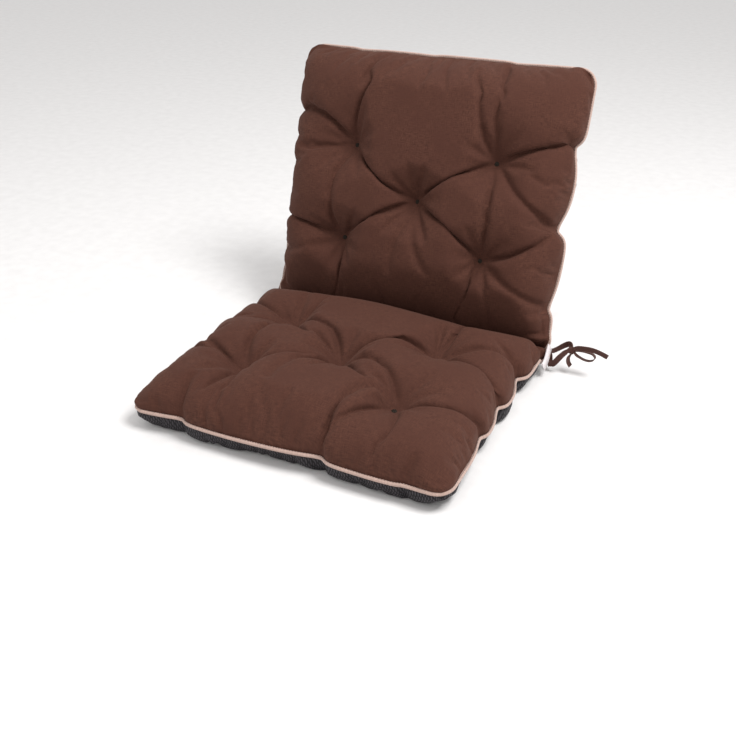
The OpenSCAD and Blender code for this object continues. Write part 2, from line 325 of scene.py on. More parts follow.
def seam_side(cushion, side):
    """The seam from the fold corner to the middle of the far corner, as (x, t, h). side is 1 or -1."""
    edge_x = HALF_WIDTH - SEAM_INSET
    far_t = cushion.length - SEAM_INSET
    r = sizes().corner_r
    start_t = 1.5 * MM
    straight = np.linspace(start_t, far_t - r, 260)
    line = np.stack([np.full_like(straight, edge_x), straight], -1)
    bend = arc_points((edge_x - r, far_t - r), r, 0, 45, 14)[1:]
    p = np.concatenate([line, bend])
    kinks = cushion.kinks["right" if side > 0 else "left"]
    p[:, 0] -= pull_in(p[:, 1], kinks)
    h = np.zeros(len(p))
    for at, out, up in cushion.sway:
        hill = np.exp(-(((p[:, 1] - at * MM) / (9 * MM)) ** 2))
        p[:, 0] += out * MM * hill
        h += up * MM * hill
    h += 1.2 * MM * np.sin(p[:, 1] / (31 * MM) + side)
    h *= np.clip(p[:, 1] / (20 * MM), 0, 1)
    return np.stack([p[:, 0] * side, p[:, 1], h], -1)


def seam_far(cushion):
    """The far seam from the middle of the left corner to the middle of the right corner."""
    edge_x = HALF_WIDTH - SEAM_INSET
    far_t = cushion.length - SEAM_INSET
    r = sizes().corner_r
    left = arc_points((-edge_x + r, far_t - r), r, 135, 90, 14)
    across = np.linspace(-edge_x + r, edge_x - r, 320)[1:-1]
    right = arc_points((edge_x - r, far_t - r), r, 90, 45, 14)
    p = np.concatenate([left, np.stack([across, np.full_like(across, far_t)], -1), right])
    p[:, 1] -= pull_in(p[:, 0], cushion.kinks["far"])
    h = 1.2 * MM * np.sin(p[:, 0] / (37 * MM) + 0.7)
    ends = np.clip((edge_x - np.abs(p[:, 0])) / r, 0, 1)
    return np.stack([p[:, 0], p[:, 1], h * ends], -1)


def cloth_grid(cushion):
    """Even grid of (x, t, h) inside the seam: a patch between the fold, the sides and the far edge."""
    nx, nt = sizes().columns, sizes().rows
    left = even_steps(seam_side(cushion, -1), nt)
    right = even_steps(seam_side(cushion, 1), nt)
    far = even_steps(seam_far(cushion), nx)
    left[-1], right[-1] = far[0], far[-1]
    near = np.linspace(left[0], right[0], nx + 1)
    u = np.linspace(0, 1, nx + 1)[:, None, None]
    v = np.linspace(0, 1, nt + 1)[None, :, None]
    grid = (1 - v) * near[:, None] + v * far[:, None] + (1 - u) * left[None] + u * right[None]
    corners = (1 - u) * (1 - v) * near[0] + u * (1 - v) * near[-1] + (1 - u) * v * far[0] + u * v * far[-1]
    return grid - corners


def curve_through(points, steps):
    """A smooth curve through three points, given in mm, as metres."""
    a, b, c = (np.array(p, float) * MM for p in points)
    t = np.linspace(0, 1, steps)[:, None]
    middle = 2 * b - (a + c) / 2
    return (1 - t) ** 2 * a + 2 * t * (1 - t) * middle + t**2 * c


def crease_depth(cushion, grid):
    """Depth that the creases take out of the crown at each grid point."""
    half_w = 5.5 * MM
    depth = np.zeros(grid.shape[:2])
    for deep, points in cushion.creases:
        line = curve_through(points, 40)
        d = np.linalg.norm(grid[:, :, None, :2] - line[None, None], axis=3).min(2)
        depth = np.maximum(depth, 1.5 * deep * MM * np.exp(-((d / half_w) ** 2)))
    gathers, reach = 11, 40 * MM
    for k, tuft in enumerate(cushion.tufts()):
        arm = grid[..., :2] - tuft
        r = np.linalg.norm(arm, axis=2)
        turn = np.arctan2(arm[..., 1], arm[..., 0])
        ripple = np.cos(gathers * turn + 1.3 * k + 0.8 * np.sin(2 * turn + k))
        depth = depth + 4 * MM * ripple * np.exp(-((r / reach) ** 2)) * np.clip(r / (9 * MM), 0, 1)
    return depth


def start_shape(cushion):
    """Heights of the upper and the lower cloth before the filling swells them."""
    grid = cloth_grid(cushion)
    x = np.abs(grid[..., 0]) / HALF_WIDTH
    t = np.abs(grid[..., 1] - cushion.length / 2) / (cushion.length / 2)
    dome = np.clip((1 - x**6) * (1 - t**6), 0, 1) ** 0.5
    upper = sizes().crown * dome - crease_depth(cushion, grid) * dome
    lower = -(cushion.rest - 4 * MM) * np.clip(dome * 1.3, 0, 1)
    dip = sizes().tuft_dip
    well = 27 * MM
    for tuft in cushion.tufts():
        d = np.linalg.norm(grid[..., :2] - tuft, axis=2)
        near = np.exp(-((d / well) ** 2))
        upper = upper + (dip - 4 * MM - upper) * near
        lower = lower + (UNDER_TUFT_H - lower) * near
    edge = np.ones(grid.shape[:2], bool)
    edge[1:-1, 1:-1] = False
    upper = np.where(edge, grid[..., 2], upper)
    lower = np.where(edge, grid[..., 2], lower)
    return grid, upper, lower, edge


def tuft_points(cushion, grid):
    """The grid points that each tuft holds down."""
    held = []
    for tuft in cushion.tufts():
        d = np.linalg.norm(grid[..., :2] - tuft, axis=2)
        nearest = d == d.min()
        held.append(nearest | (d < 4.5 * MM))
    return np.any(held, axis=0)


def slack_pad(cushion):
    """A closed mesh object of the two cloths, with the pinned points in a group, and its index grids."""
    grid, upper, lower, edge = start_shape(cushion)
    held = tuft_points(cushion, grid)
    upper = np.where(held, sizes().tuft_dip, upper)
    lower = np.where(held, UNDER_TUFT_H, lower)
    nx, nt = grid.shape[0] - 1, grid.shape[1] - 1
    count = grid.shape[0] * grid.shape[1]
    top = np.arange(count).reshape(grid.shape[:2])
    under = top.copy()
    inner = ~edge
    under[inner] = count + np.arange(inner.sum())
    verts = np.concatenate([
        np.stack([grid[..., 0], grid[..., 1], upper], -1).reshape(-1, 3),
        np.stack([grid[..., 0], grid[..., 1], lower], -1)[inner],
    ])
    faces = []
    for i in range(nx):
        for j in range(nt):
            faces.append((top[i, j], top[i + 1, j], top[i + 1, j + 1], top[i, j + 1]))
            faces.append((under[i, j], under[i, j + 1], under[i + 1, j + 1], under[i + 1, j]))
    mesh = bpy.data.meshes.new(cushion.name + "_slack")
    mesh.from_pydata(verts.tolist(), [], [tuple(int(k) for k in f) for f in faces])
    pad = bpy.data.objects.new(cushion.name + "_slack", mesh)
    bpy.context.collection.objects.link(pad)
    pinned = np.unique(np.concatenate([top[edge], top[held], under[held]]))
    pad.vertex_groups.new(name="pinned").add([int(k) for k in pinned], 1.0, "REPLACE")
    return pad, top, under, verts


def add_cloth(pad, frames):
    """Cloth with the filling's pressure and no gravity, held at the seam and the tufts."""
    cloth = pad.modifiers.new("Cloth", "CLOTH")
    s = cloth.settings
    s.quality = 6
    s.mass = 0.005
    s.tension_stiffness = 30
    s.compression_stiffness = 5
    s.shear_stiffness = 8
    s.bending_stiffness = 0.003
    s.tension_damping = s.compression_damping = s.shear_damping = 0.5
    s.shrink_min = s.shrink_max = -sizes().swell
    s.use_pressure = True
    s.uniform_pressure_force = sizes().pressure
    s.vertex_group_mass = "pinned"
    s.effector_weights.gravity = 0
    cloth.collision_settings.use_collision = False
    cloth.point_cache.frame_start = 1
    cloth.point_cache.frame_end = frames


def swollen(pad):
    """The pad's points with the cloth applied."""
    depsgraph = bpy.context.evaluated_depsgraph_get()
    mesh = pad.evaluated_get(depsgraph).data
    co = np.zeros(len(mesh.vertices) * 3)
    mesh.vertices.foreach_get("co", co)
    return co.reshape(-1, 3)


def soft_positive(d, softness):
    return (d + np.sqrt(d * d + softness * softness)) / 2


def settle(cushion, points, start):
    """Caps how far the cloth moved, and presses its rear flat and its fold side on the other cushion.

    The cap and the start height together set how high the crown stands.
    """
    farthest = 34 * MM
    moved = points - start
    far = np.linalg.norm(moved, axis=1, keepdims=True)
    p = start + moved * np.minimum(1, farthest / np.maximum(far, 1e-9))
    clear_of_rest, flat_softness = 1.2 * MM, 1.5 * MM
    floor_h = -cushion.rest + clear_of_rest
    p[:, 2] = floor_h + soft_positive(p[:, 2] - floor_h, flat_softness)
    # The stitched fold holds the cloth down beside it, more in some places than in others.
    mean_mm, swing_mm, wave, slope = 9, 5, 55 * MM, 0.62
    give, crest_softness = 0.2, 5 * MM
    beside_fold = (mean_mm + swing_mm * np.cos((p[:, 0] + 40 * MM) / wave)) * MM
    held_h = beside_fold + slope * np.maximum(p[:, 1], 0)
    over = p[:, 2] - held_h
    capped = held_h - soft_positive(-over, crest_softness) + give * np.maximum(over, 0)
    p[:, 2] = np.where(p[:, 2] > 0, capped, p[:, 2])
    p[:, 2] = np.where((points[:, 2] > 0) & (p[:, 2] < 0), 0.0, p[:, 2])
    normal = np.array((-math.sin(HALF_ANGLE), math.cos(HALF_ANGLE)))
    clear_of_fold = 0.5 * MM
    beyond = p[:, 1:] @ normal + clear_of_fold
    p[:, 1:] -= np.maximum(beyond, 0)[:, None] * normal
    return p


def fill_cushions():
    """Swells both cushions together and returns their (top, under) grids of points in the frame's axes."""
    frames = 25
    scene = bpy.context.scene
    scene.frame_start, scene.frame_end = 1, frames
    slack = {c.name: slack_pad(c) for c in CUSHIONS}
    for pad, *_ in slack.values():
        add_cloth(pad, frames)
    for f in range(1, frames + 1):
        scene.frame_set(f)
    filled = {}
    for c in CUSHIONS:
        pad, top, under, start = slack[c.name]
        p = settle(c, swollen(pad), start)
        filled[c.name] = (p[top], p[under])
        mesh = pad.data
        bpy.data.objects.remove(pad)
        bpy.data.meshes.remove(mesh)
    scene.frame_set(1)
    return filled


# ---- Meshes ------------------------------------------------------------------------------------


def new_piece(name, verts, faces, material, uvs=None):
    """A smooth mesh object. uvs holds one (u, v) for each vertex, in metres of cloth."""
    mesh = bpy.data.meshes.new(name)
    mesh.from_pydata([tuple(map(float, v)) for v in verts], [], [tuple(int(k) for k in f) for f in faces])
    mesh.polygons.foreach_set("use_smooth", [True] * len(mesh.polygons))
    if uvs is not None:
        layer = mesh.uv_layers.new(name="Cloth")
        corners = np.zeros(len(mesh.loops), int)
        mesh.loops.foreach_get("vertex_index", corners)
        layer.data.foreach_set("uv", np.asarray(uvs, float)[corners].ravel())
    mesh.materials.append(material)
    mesh.update()
    piece = bpy.data.objects.new(name, mesh)
    bpy.context.collection.objects.link(piece)
    return piece


def grid_faces(nx, nt, flip):
    index = np.arange((nx + 1) * (nt + 1)).reshape(nx + 1, nt + 1)
    quads = np.stack([index[:-1, :-1], index[1:, :-1], index[1:, 1:], index[:-1, 1:]], -1).reshape(-1, 4)
    return quads[:, ::-1] if flip else quads


def cover(name, cushion, points, flat, upper, material):
    """One panel of cloth over the filling: subdivided once, with the cloth's thickness inwards."""
    nx, nt = points.shape[0] - 1, points.shape[1] - 1
    faces = grid_faces(nx, nt, cushion.flip == upper)
    world = cushion.place(points).reshape(-1, 3)
    piece = new_piece(name, world, faces, material, flat.reshape(-1, 2))
    smooth = piece.modifiers.new("Subdivision", "SUBSURF")
    smooth.levels = smooth.render_levels = 1
    wall = piece.modifiers.new("Thickness", "SOLIDIFY")
    wall.thickness = sizes().cloth_t
    wall.offset = -1
    return piece


def tube_faces(rings, sides):
    """Faces between rings of the same number of points, with a cap at each end."""
    faces = []
    for k in range(rings - 1):
        for i in range(sides):
            j = (i + 1) % sides
            faces.append((k * sides + i, k * sides + j, (k + 1) * sides + j, (k + 1) * sides + i))
    last = (rings - 1) * sides
    faces.append(tuple(range(sides - 1, -1, -1)))
    faces.append(tuple(range(last, last + sides)))
    return faces


def sweep(path, ways, outs, profile):
    """Rings of a profile, as (out, side) pairs, along a path. outs gives each ring's outward direction."""
    verts = []
    for p, way, out in zip(path, ways, outs):
        out = out - way * (out @ way)
        out = out / np.linalg.norm(out)
        side = np.cross(way, out)
        verts.extend(p + out * a + side * b for a, b in profile)
    return verts, tube_faces(len(path), len(profile))


def directions(path):
    """Unit directions along a polyline, at each of its points."""
    d = np.gradient(np.asarray(path, float), axis=0)
    return d / np.linalg.norm(d, axis=1, keepdims=True)


def path_lengths(path):
    return np.concatenate([[0], np.cumsum(np.linalg.norm(np.diff(path, axis=0), axis=1))])


# ---- Materials ---------------------------------------------------------------------------------


def add_node(tree, kind, inputs=None, **settings):
    """Adds a node, sets its properties, and sets or links its sockets by name or number."""
    node = tree.nodes.new(kind)
    for name, value in settings.items():
        setattr(node, name, value)
    for socket, value in (inputs or {}).items():
        if isinstance(value, bpy.types.NodeSocket):
            tree.links.new(value, node.inputs[socket])
        else:
            node.inputs[socket].default_value = value
    return node


def new_material(name, roughness, sheen, sheen_tint=(1, 1, 1), specular=0.3):
    """A cloth-like material with its shader, ready for colour and bump."""
    material = bpy.data.materials.new(name)
    material.use_nodes = True
    tree = material.node_tree
    tree.nodes.clear()
    shader = add_node(tree, "ShaderNodeBsdfPrincipled", {
        "Roughness": roughness,
        "Sheen Weight": sheen,
        "Sheen Roughness": 0.5,
        "Sheen Tint": (*sheen_tint, 1),
        "Specular IOR Level": specular,
    })
    add_node(tree, "ShaderNodeOutputMaterial", {"Surface": shader.outputs[0]})
    return material, tree, shader


def stretched_noise(tree, coords, across, along, detail=3.0):
    """Noise whose grains are across by along metres in size."""
    scaled = add_node(tree, "ShaderNodeMapping", {"Vector": coords, "Scale": (1 / across, 1 / along, 1)})
    noise = add_node(tree, "ShaderNodeTexNoise", {
        "Vector": scaled.outputs[0], "Scale": 1.0, "Detail": detail, "Roughness": 0.55,
    })
    return noise.outputs["Fac"]


def mix_colour(tree, factor, a, b):
    """A blend of two colours or colour sockets by a factor socket or number."""
    def rgba(value):
        return value if isinstance(value, bpy.types.NodeSocket) else (*value, 1)
    node = add_node(tree, "ShaderNodeMix", {0: factor, 6: rgba(a), 7: rgba(b)}, data_type="RGBA")
    return node.outputs[2]


def spread(tree, value, low, high):
    """The value's range low to high brought to 0 to 1."""
    node = add_node(tree, "ShaderNodeMapRange", {"Value": value, "From Min": low, "From Max": high})
    return node.outputs["Result"]


def calculate(tree, operation, a, b):
    node = add_node(tree, "ShaderNodeMath", {0: a, 1: b}, operation=operation)
    return node.outputs[0]


def cloth_uv(tree):
    """The piece's own UV map, in metres of cloth."""
    return add_node(tree, "ShaderNodeUVMap", uv_map="Cloth").outputs[0]


def object_place(tree):
    return add_node(tree, "ShaderNodeTexCoord").outputs["Object"]


def turned_uv(tree, uv, degrees):
    """The UV map turned, so that a pattern on it slants."""
    turn = (0, 0, math.radians(degrees))
    return add_node(tree, "ShaderNodeMapping", {"Vector": uv, "Rotation": turn}).outputs[0]


def darker(value, share):
    return tuple(share * v for v in value)


def paint(tree, shader, factor, dark, light):
    """Colours the shader from dark to light by the factor."""
    tree.links.new(mix_colour(tree, factor, dark, light), shader.inputs["Base Color"])


def emboss(tree, shader, height, strength, distance):
    """Bumps the surface by the height."""
    inputs = {"Height": height, "Strength": strength, "Distance": distance}
    tree.links.new(add_node(tree, "ShaderNodeBump", inputs).outputs[0], shader.inputs["Normal"])


def vary_roughness(tree, shader, value, low, high):
    """Roughness from low to high as the value goes from 0 to 1."""
    inputs = {"Value": value, "To Min": low, "To Max": high}
    rough = add_node(tree, "ShaderNodeMapRange", inputs).outputs["Result"]
    tree.links.new(rough, shader.inputs["Roughness"])


def weave_height(tree, coords, pitch):
    """A plain weave of the given thread pitch: warp and weft cross over and under by turns."""
    scale = add_node(tree, "ShaderNodeMapping", {"Vector": coords, "Scale": (math.pi / pitch,) * 3})
    parts = add_node(tree, "ShaderNodeSeparateXYZ", {"Vector": scale.outputs[0]})
    wave_x = add_node(tree, "ShaderNodeMath", {0: parts.outputs[0]}, operation="SINE").outputs[0]
    wave_y = add_node(tree, "ShaderNodeMath", {0: parts.outputs[1]}, operation="SINE").outputs[0]
    return calculate(tree, "MULTIPLY", wave_x, wave_y)


def brown_cloth():
    """Linen-look polyester, plain woven from slubby yarn: matt, with light and dark streaks both ways."""
    c = colours()
    material, tree, shader = new_material("linen_look_polyester", 0.9, 0.12, linear("#b08472"), 0.2)
    uv = cloth_uv(tree)
    weft = stretched_noise(tree, uv, 11 * MM, 1.0 * MM)
    warp = stretched_noise(tree, uv, 1.0 * MM, 9 * MM)
    across = calculate(tree, "MULTIPLY", weft, 0.55)
    along = calculate(tree, "MULTIPLY", warp, 0.45)
    streaks = calculate(tree, "ADD", across, along)
    patches = stretched_noise(tree, uv, 60 * MM, 60 * MM, 2.0)
    base = mix_colour(tree, spread(tree, streaks, 0.38, 0.62), c.cloth_dark, c.cloth_light)
    even = mix_colour(tree, 0.4, base, c.cloth)
    worn = mix_colour(tree, spread(tree, patches, 0.3, 0.8), even, c.cloth)
    tree.links.new(worn, shader.inputs["Base Color"])
    # Threads of such a cloth are about 0.5 mm apart. They are drawn at twice that, so that they show.
    height = calculate(
        tree, "ADD", calculate(tree, "MULTIPLY", weave_height(tree, uv, 1.0 * MM), 0.35), streaks
    )
    emboss(tree, shader, height, 0.5, 0.5 * MM)
    vary_roughness(tree, shader, streaks, 0.8, 0.98)
    return material


def grip_cloth():
    """Knitted polyester with printed PVC dots: a dull dark ground under rows of small shinier dots."""
    c = colours()
    material, tree, shader = new_material("pvc_dotted_knit", 0.75, 0.0, specular=0.35)
    uv = cloth_uv(tree)
    # Dots 3.2 mm apart in slanting rows.
    turned = turned_uv(tree, uv, 38)
    cells = add_node(tree, "ShaderNodeTexVoronoi", {
        "Vector": turned, "Scale": 1 / (3.2 * MM), "Randomness": 0.12,
    }, voronoi_dimensions="2D")
    dot = spread(tree, cells.outputs["Distance"], 0.42, 0.26)
    knit = stretched_noise(tree, uv, 1.2 * MM, 2.4 * MM)
    ground = mix_colour(tree, spread(tree, knit, 0.3, 0.7), darker(c.grip, 0.6), c.grip)
    paint(tree, shader, dot, ground, c.grip_dot)
    height = calculate(tree, "ADD", dot, calculate(tree, "MULTIPLY", knit, 0.4))
    emboss(tree, shader, height, 0.8, 0.5 * MM)
    vary_roughness(tree, shader, dot, 0.85, 0.5)
    return material


def piping_cloth():
    """Bias-cut cotton-polyester over a cord: matt, with slanting threads and small cross puckers, and painted
    shade in the puckers' hollows.
    """
    c = colours()
    material, tree, shader = new_material("bias_cut_piping_cloth", 0.8, 0.25, (1, 1, 1), 0.25)
    uv = cloth_uv(tree)
    turned = turned_uv(tree, uv, 45)
    thread = stretched_noise(tree, turned, 0.9 * MM, 6 * MM)
    pucker = stretched_noise(tree, uv, 3 * MM, 16 * MM, 2.0)
    # The colour follows the slanting threads, which are the cloth's own tone, and the pucker height, which darkens
    # the puckers' hollows as painted shade.
    shade = spread(tree, calculate(tree, "ADD", calculate(tree, "MULTIPLY", thread, 0.5), pucker), 0.55, 0.95)
    dark = darker(c.piping, 0.78)
    paint(tree, shader, shade, dark, c.piping)
    weave = weave_height(tree, turned, 0.8 * MM)
    height = calculate(tree, "ADD", weave, calculate(tree, "MULTIPLY", pucker, 3.0))
    emboss(tree, shader, height, 0.5, 0.4 * MM)
    return material


def tape_cloth():
    """Folded and pressed polyester tape in the cover's colour: a slanting twill line and a little sheen."""
    c = colours()
    material, tree, shader = new_material("folded_polyester_tape", 0.75, 0.3, linear("#b08a7a"), 0.3)
    uv = cloth_uv(tree)
    turned = turned_uv(tree, uv, 30)
    twill = stretched_noise(tree, turned, 0.9 * MM, 5 * MM)
    dark = darker(c.tape, 0.7)
    paint(tree, shader, spread(tree, twill, 0.35, 0.65), dark, c.tape)
    height = calculate(tree, "ADD", weave_height(tree, turned, 0.8 * MM), twill)
    emboss(tree, shader, height, 0.45, 0.3 * MM)
    return material


def label_satin():
    """Woven polyester satin: smooth and white, with a soft lustre along fine ribs."""
    c = colours()
    material, tree, shader = new_material("polyester_satin", 0.45, 0.1, (1, 1, 1), 0.5)
    uv = cloth_uv(tree)
    ribs = stretched_noise(tree, uv, 0.5 * MM, 20 * MM)
    soft = darker(c.label, 0.86)
    paint(tree, shader, spread(tree, ribs, 0.35, 0.65), soft, c.label)
    emboss(tree, shader, ribs, 0.3, 0.2 * MM)
    return material


def waxed_twine():
    """Twisted polyester twine with wax: dark olive brown, with a strand every millimetre or so."""
    c = colours()
    material, tree, shader = new_material("waxed_twine", 0.6, 0.15, (1, 1, 1), 0.35)
    place = object_place(tree)
    strands = add_node(tree, "ShaderNodeTexNoise", {"Vector": place, "Scale": 1 / (1.1 * MM), "Detail": 3.0})
    dark = darker(c.twine, 0.55)
    fac = spread(tree, strands.outputs["Fac"], 0.35, 0.65)
    paint(tree, shader, fac, dark, c.twine)
    emboss(tree, shader, strands.outputs["Fac"], 0.6, 0.4 * MM)
    return material


def button_thread():
    """Polyester thread wound over a disc: dark olive brown, with fine threads running one way."""
    c = colours()
    material, tree, shader = new_material("thread_wound_button", 0.8, 0.0, (1, 1, 1), 0.3)
    place = object_place(tree)
    threads = stretched_noise(tree, place, 0.5 * MM, 4 * MM)
    dark = darker(c.twine, 0.5)
    paint(tree, shader, spread(tree, threads, 0.35, 0.65), dark, c.twine)
    emboss(tree, shader, threads, 0.6, 0.3 * MM)
    return material


def sewing_thread():
    """Spun polyester sewing thread in the cover's colour: matt, with a faint twist."""
    c = colours()
    material, tree, shader = new_material("spun_polyester_thread", 0.75, 0.2, (1, 1, 1), 0.3)
    place = object_place(tree)
    twist = add_node(tree, "ShaderNodeTexNoise", {"Vector": place, "Scale": 1 / (0.6 * MM)}).outputs["Fac"]
    dark = darker(c.thread, 0.7)
    paint(tree, shader, twist, dark, c.thread)
    return material


def floor_paint():
    """Matt white studio card: pale, with a barely visible tooth."""
    material, tree, shader = new_material("matt_studio_card", 0.9, 0.0)
    place = object_place(tree)
    grain = {"Vector": place, "Scale": 40.0, "Detail": 4.0}
    tooth = add_node(tree, "ShaderNodeTexNoise", grain).outputs["Fac"]
    shade = mix_colour(tree, spread(tree, tooth, 0.3, 0.7), linear("#e6e4e3"), linear("#eceae9"))
    tree.links.new(shade, shader.inputs["Base Color"])
    return material


MAKERS = {
    "brown_cloth": brown_cloth,
    "grip_cloth": grip_cloth,
    "piping_cloth": piping_cloth,
    "tie_tape": tape_cloth,
    "label_satin": label_satin,
    "twine": waxed_twine,
    "button": button_thread,
    "thread": sewing_thread,
}


MADE = {}


def finish_of(slot):
    """The material of a slot, made once."""
    if slot not in MADE:
        MADE[slot] = MAKERS[slot]()
    return MADE[slot]


# ---- Ties: routes in mm from the fold corner, for the right-hand side --------------------------

FRONT_ROUTE = [
    (0, -1.5, 0), (2.5, -1.5, -0.5), (5, -3, -6), (7, -8, -14), (9, -13, -20), (13, -15, -15),
    (18, -15, -8), (24, -13, 1), (31, -9, 9), (38, -6, 14), (48, -6, 18), (59, -7, 20),
    (70, -8, 21), (80, -9, 20), (89, -10, 18), (97, -10, 15),
]
FRONT_WIDTH = [
    (0, 0, 0.7), (0, 0, 0.7), (0.5, 0, 0.8), (0.4, 0.6, 0.5), (0.5, 0.6, 0), (0.9, 0, -0.4),
    (0.9, 0, -0.5), (0.8, 0, -0.6), (0.6, 0, -0.6), (0.1, 0, -0.4), (0, 0.1, -0.9), (0, 0.2, -1),
    (0, 0.2, -1), (0, 0.2, -1), (0, 0.2, -1), (0, 0.2, -1),
]
REAR_ROUTE = [
    (0, 1.5, 0), (2.5, 1.8, 0), (7, 7, -2), (14, 13, 1), (22, 15, 7), (30, 12, 13),
    (36, 5, 15), (40, -2, 11), (47, -6, 6), (55, -6, 2), (62, -6, 0), (69, -6, 0),
    (75, -6, 3), (77, -6, 8), (73, -5, 12), (66, -4, 13), (57, -3, 13), (49, -2, 12),
    (43, 1, 8), (38, -1, 3), (35, -5, -3), (36, -6, -10), (40, -6, -16),
]
REAR_WIDTH = [
    (0, 0, 0.7), (0, 0, 0.7), (0, 0, 1), (0, 0, 1), (0.1, 0, 1), (0.2, 0, 1),
    (0, 0.2, 0.8), (0.2, 0, 0.3), (0, 0.8, 0), (0, 1, -0.2), (0, 1, -0.2), (0, 1, -0.2),
    (0, 1, -0.2), (0, 1, -0.2), (0, 1, -0.2), (0, 1, -0.2), (0, 1, -0.2), (0, 0.7, 0),
    (0.2, 0.3, 0), (0.2, 0.3, 0), (0.4, 0.8, 0), (0.4, 0.9, 0), (0.4, 0.9, 0),
]
KNOT_AT = (38, -2, 10)

# The left tie goes round a leg behind its corner: how far beyond the pad's side its routes run, how they
# lean outwards, how close together they are, and how far along they are fully turned.
LEFT_GAP = 6
LEFT_LEAN = 0.12
LEFT_SPREAD = 0.4
LEFT_TURNED_AT = 10


def smooth_through(points, steps):
    """A curve through all the points, with steps rings between each two."""
    p = np.asarray(points, float)
    out = []
    for i in range(len(p) - 1):
        a, b, c, d = p[max(i - 1, 0)], p[i], p[i + 1], p[min(i + 2, len(p) - 1)]
        for k in range(steps):
            t = k / steps
            square = (2 * a - 5 * b + 4 * c - d) * t**2
            cube = (3 * b - a - 3 * c + d) * t**3
            out.append((2 * b + (c - a) * t + square + cube) / 2)
    out.append(p[-1])
    return np.array(out)


def fold_corner(side):
    return FOLD + np.array((HALF_WIDTH * side, 0, 0))


def tape_profile(half_w, half_t):
    """Section of a tape folded in on itself: its edges are a little thicker than its middle."""
    quarter = [(1.0, 0.35), (0.94, 1.0), (0.8, 1.0), (0.68, 0.72)]
    right = [(half_w * a, half_t * b) for a, b in quarter]
    left = [(-a, b) for a, b in right[::-1]]
    under_left = [(a, -b) for a, b in left[::-1]]
    return right + left + under_left + [(a, -b) for a, b in right[::-1]]


def to_rear(p):
    """A point of the right-hand route, led to the rear for the left-hand tie."""
    x, y, z = p
    t = min(1, x / LEFT_TURNED_AT)
    return LEFT_GAP * t + LEFT_LEAN * x - LEFT_SPREAD * y * t, x + y * (1 - t), z


def way_to_rear(p, w):
    """A direction at a point of the right-hand route, turned as the point is."""
    t = min(1, p[0] / LEFT_TURNED_AT)
    return w[0] * (1 - t) - w[1] * t, w[0] * t + w[1] * (1 - t), w[2]


def tape_piece(name, side, route, widths, material):
    """A tape swept along its route, and the points that it follows."""
    if side < 0:
        widths = [way_to_rear(p, w) for p, w in zip(route, widths)]
        route = [to_rear(p) for p in route]
    mirror = np.array((side, 1, 1))
    path = fold_corner(side) + smooth_through(route, 5) * mirror * MM
    wide = smooth_through(widths, 5) * mirror
    ways = directions(path)
    run = path_lengths(path)
    half_w, half_t = sizes().tape_w / 2, sizes().tape_t / 2
    verts, uvs = [], []
    for p, way, w, s in zip(path, ways, wide, run):
        share = np.linalg.norm(w)
        across = w - way * (w @ way)
        across /= np.linalg.norm(across)
        face = np.cross(way, across)
        for a, b in tape_profile(half_w * share, half_t):
            verts.append(p + across * a + face * b)
            uvs.append((a, s))
    faces = tube_faces(len(path), len(tape_profile(1, 1)))
    return new_piece(name, verts, faces, material, uvs), path, float(run[-1])


def tie_knot(name, side, material):
    """Two turns of tape drawn tight round the crossing tapes, over a small core."""
    at = KNOT_AT if side > 0 else to_rear(KNOT_AT)
    centre = fold_corner(side) + np.array(at) * np.array((side, 1, 1)) * MM
    forth = np.array((1.0, 0.0, 0.0)) if side > 0 else np.array((0.0, 1.0, 0.0))
    sideways = np.array((0.0, 1.0, 0.0)) if side > 0 else np.array((-1.0, 0.0, 0.0))
    axes = np.array((forth, sideways, (0.0, 0.0, 1.0)))
    turns, rings, radius, travel = 2.2, 60, 4.3 * MM, 7 * MM
    a = np.linspace(0, 2 * math.pi * turns, rings)
    shift = np.linspace(-travel / 2, travel / 2, rings)
    lean = 0.25 * np.sin(a) * travel
    path = centre + np.stack([shift + lean, radius * np.cos(a), 1.15 * radius * np.sin(a)], -1) @ axes
    ways = directions(path)
    outs = np.stack([0.2 * np.sin(a), np.cos(a), np.sin(a)], -1) @ axes
    half_w, half_t = 3.0 * MM, 0.8 * MM
    profile = [(b, w) for w, b in tape_profile(half_w, half_t)]
    verts, faces = sweep(path, ways, outs, profile)
    run = path_lengths(path)
    uvs = [(b, s) for s in run for a_, b in profile]
    core_rings, core_sides = 10, 16
    base = len(verts)
    for i in range(core_rings + 1):
        polar = math.pi * i / core_rings
        for k in range(core_sides):
            turn = 2 * math.pi * k / core_sides
            fold = 1 + 0.08 * math.cos(3 * turn)
            verts.append(centre + np.array((
                -math.cos(polar) * 7.5 * MM,
                math.sin(polar) * math.cos(turn) * 4.2 * MM * fold,
                math.sin(polar) * math.sin(turn) * 4.6 * MM * fold,
            )) @ axes)
            uvs.append((turn * 4 * MM, polar * 7 * MM))
    for i in range(core_rings):
        for k in range(core_sides):
            j = (k + 1) % core_sides
            at, up = base + i * core_sides, base + (i + 1) * core_sides
            faces.append((at + k, up + k, up + j, at + j))
    piece = new_piece(name, verts, faces, material, uvs)
    make_solid(piece)
    return piece


def make_solid(piece):
    """Merges doubled points, turns all faces outwards and keeps the mesh smooth."""
    bm = bmesh.new()
    bm.from_mesh(piece.data)
    bmesh.ops.remove_doubles(bm, verts=bm.verts, dist=0.01 * MM)
    bmesh.ops.recalc_face_normals(bm, faces=bm.faces)
    bm.to_mesh(piece.data)
    bm.free()
    piece.data.update()


# ---- Operators ---------------------------------------------------------------------------------


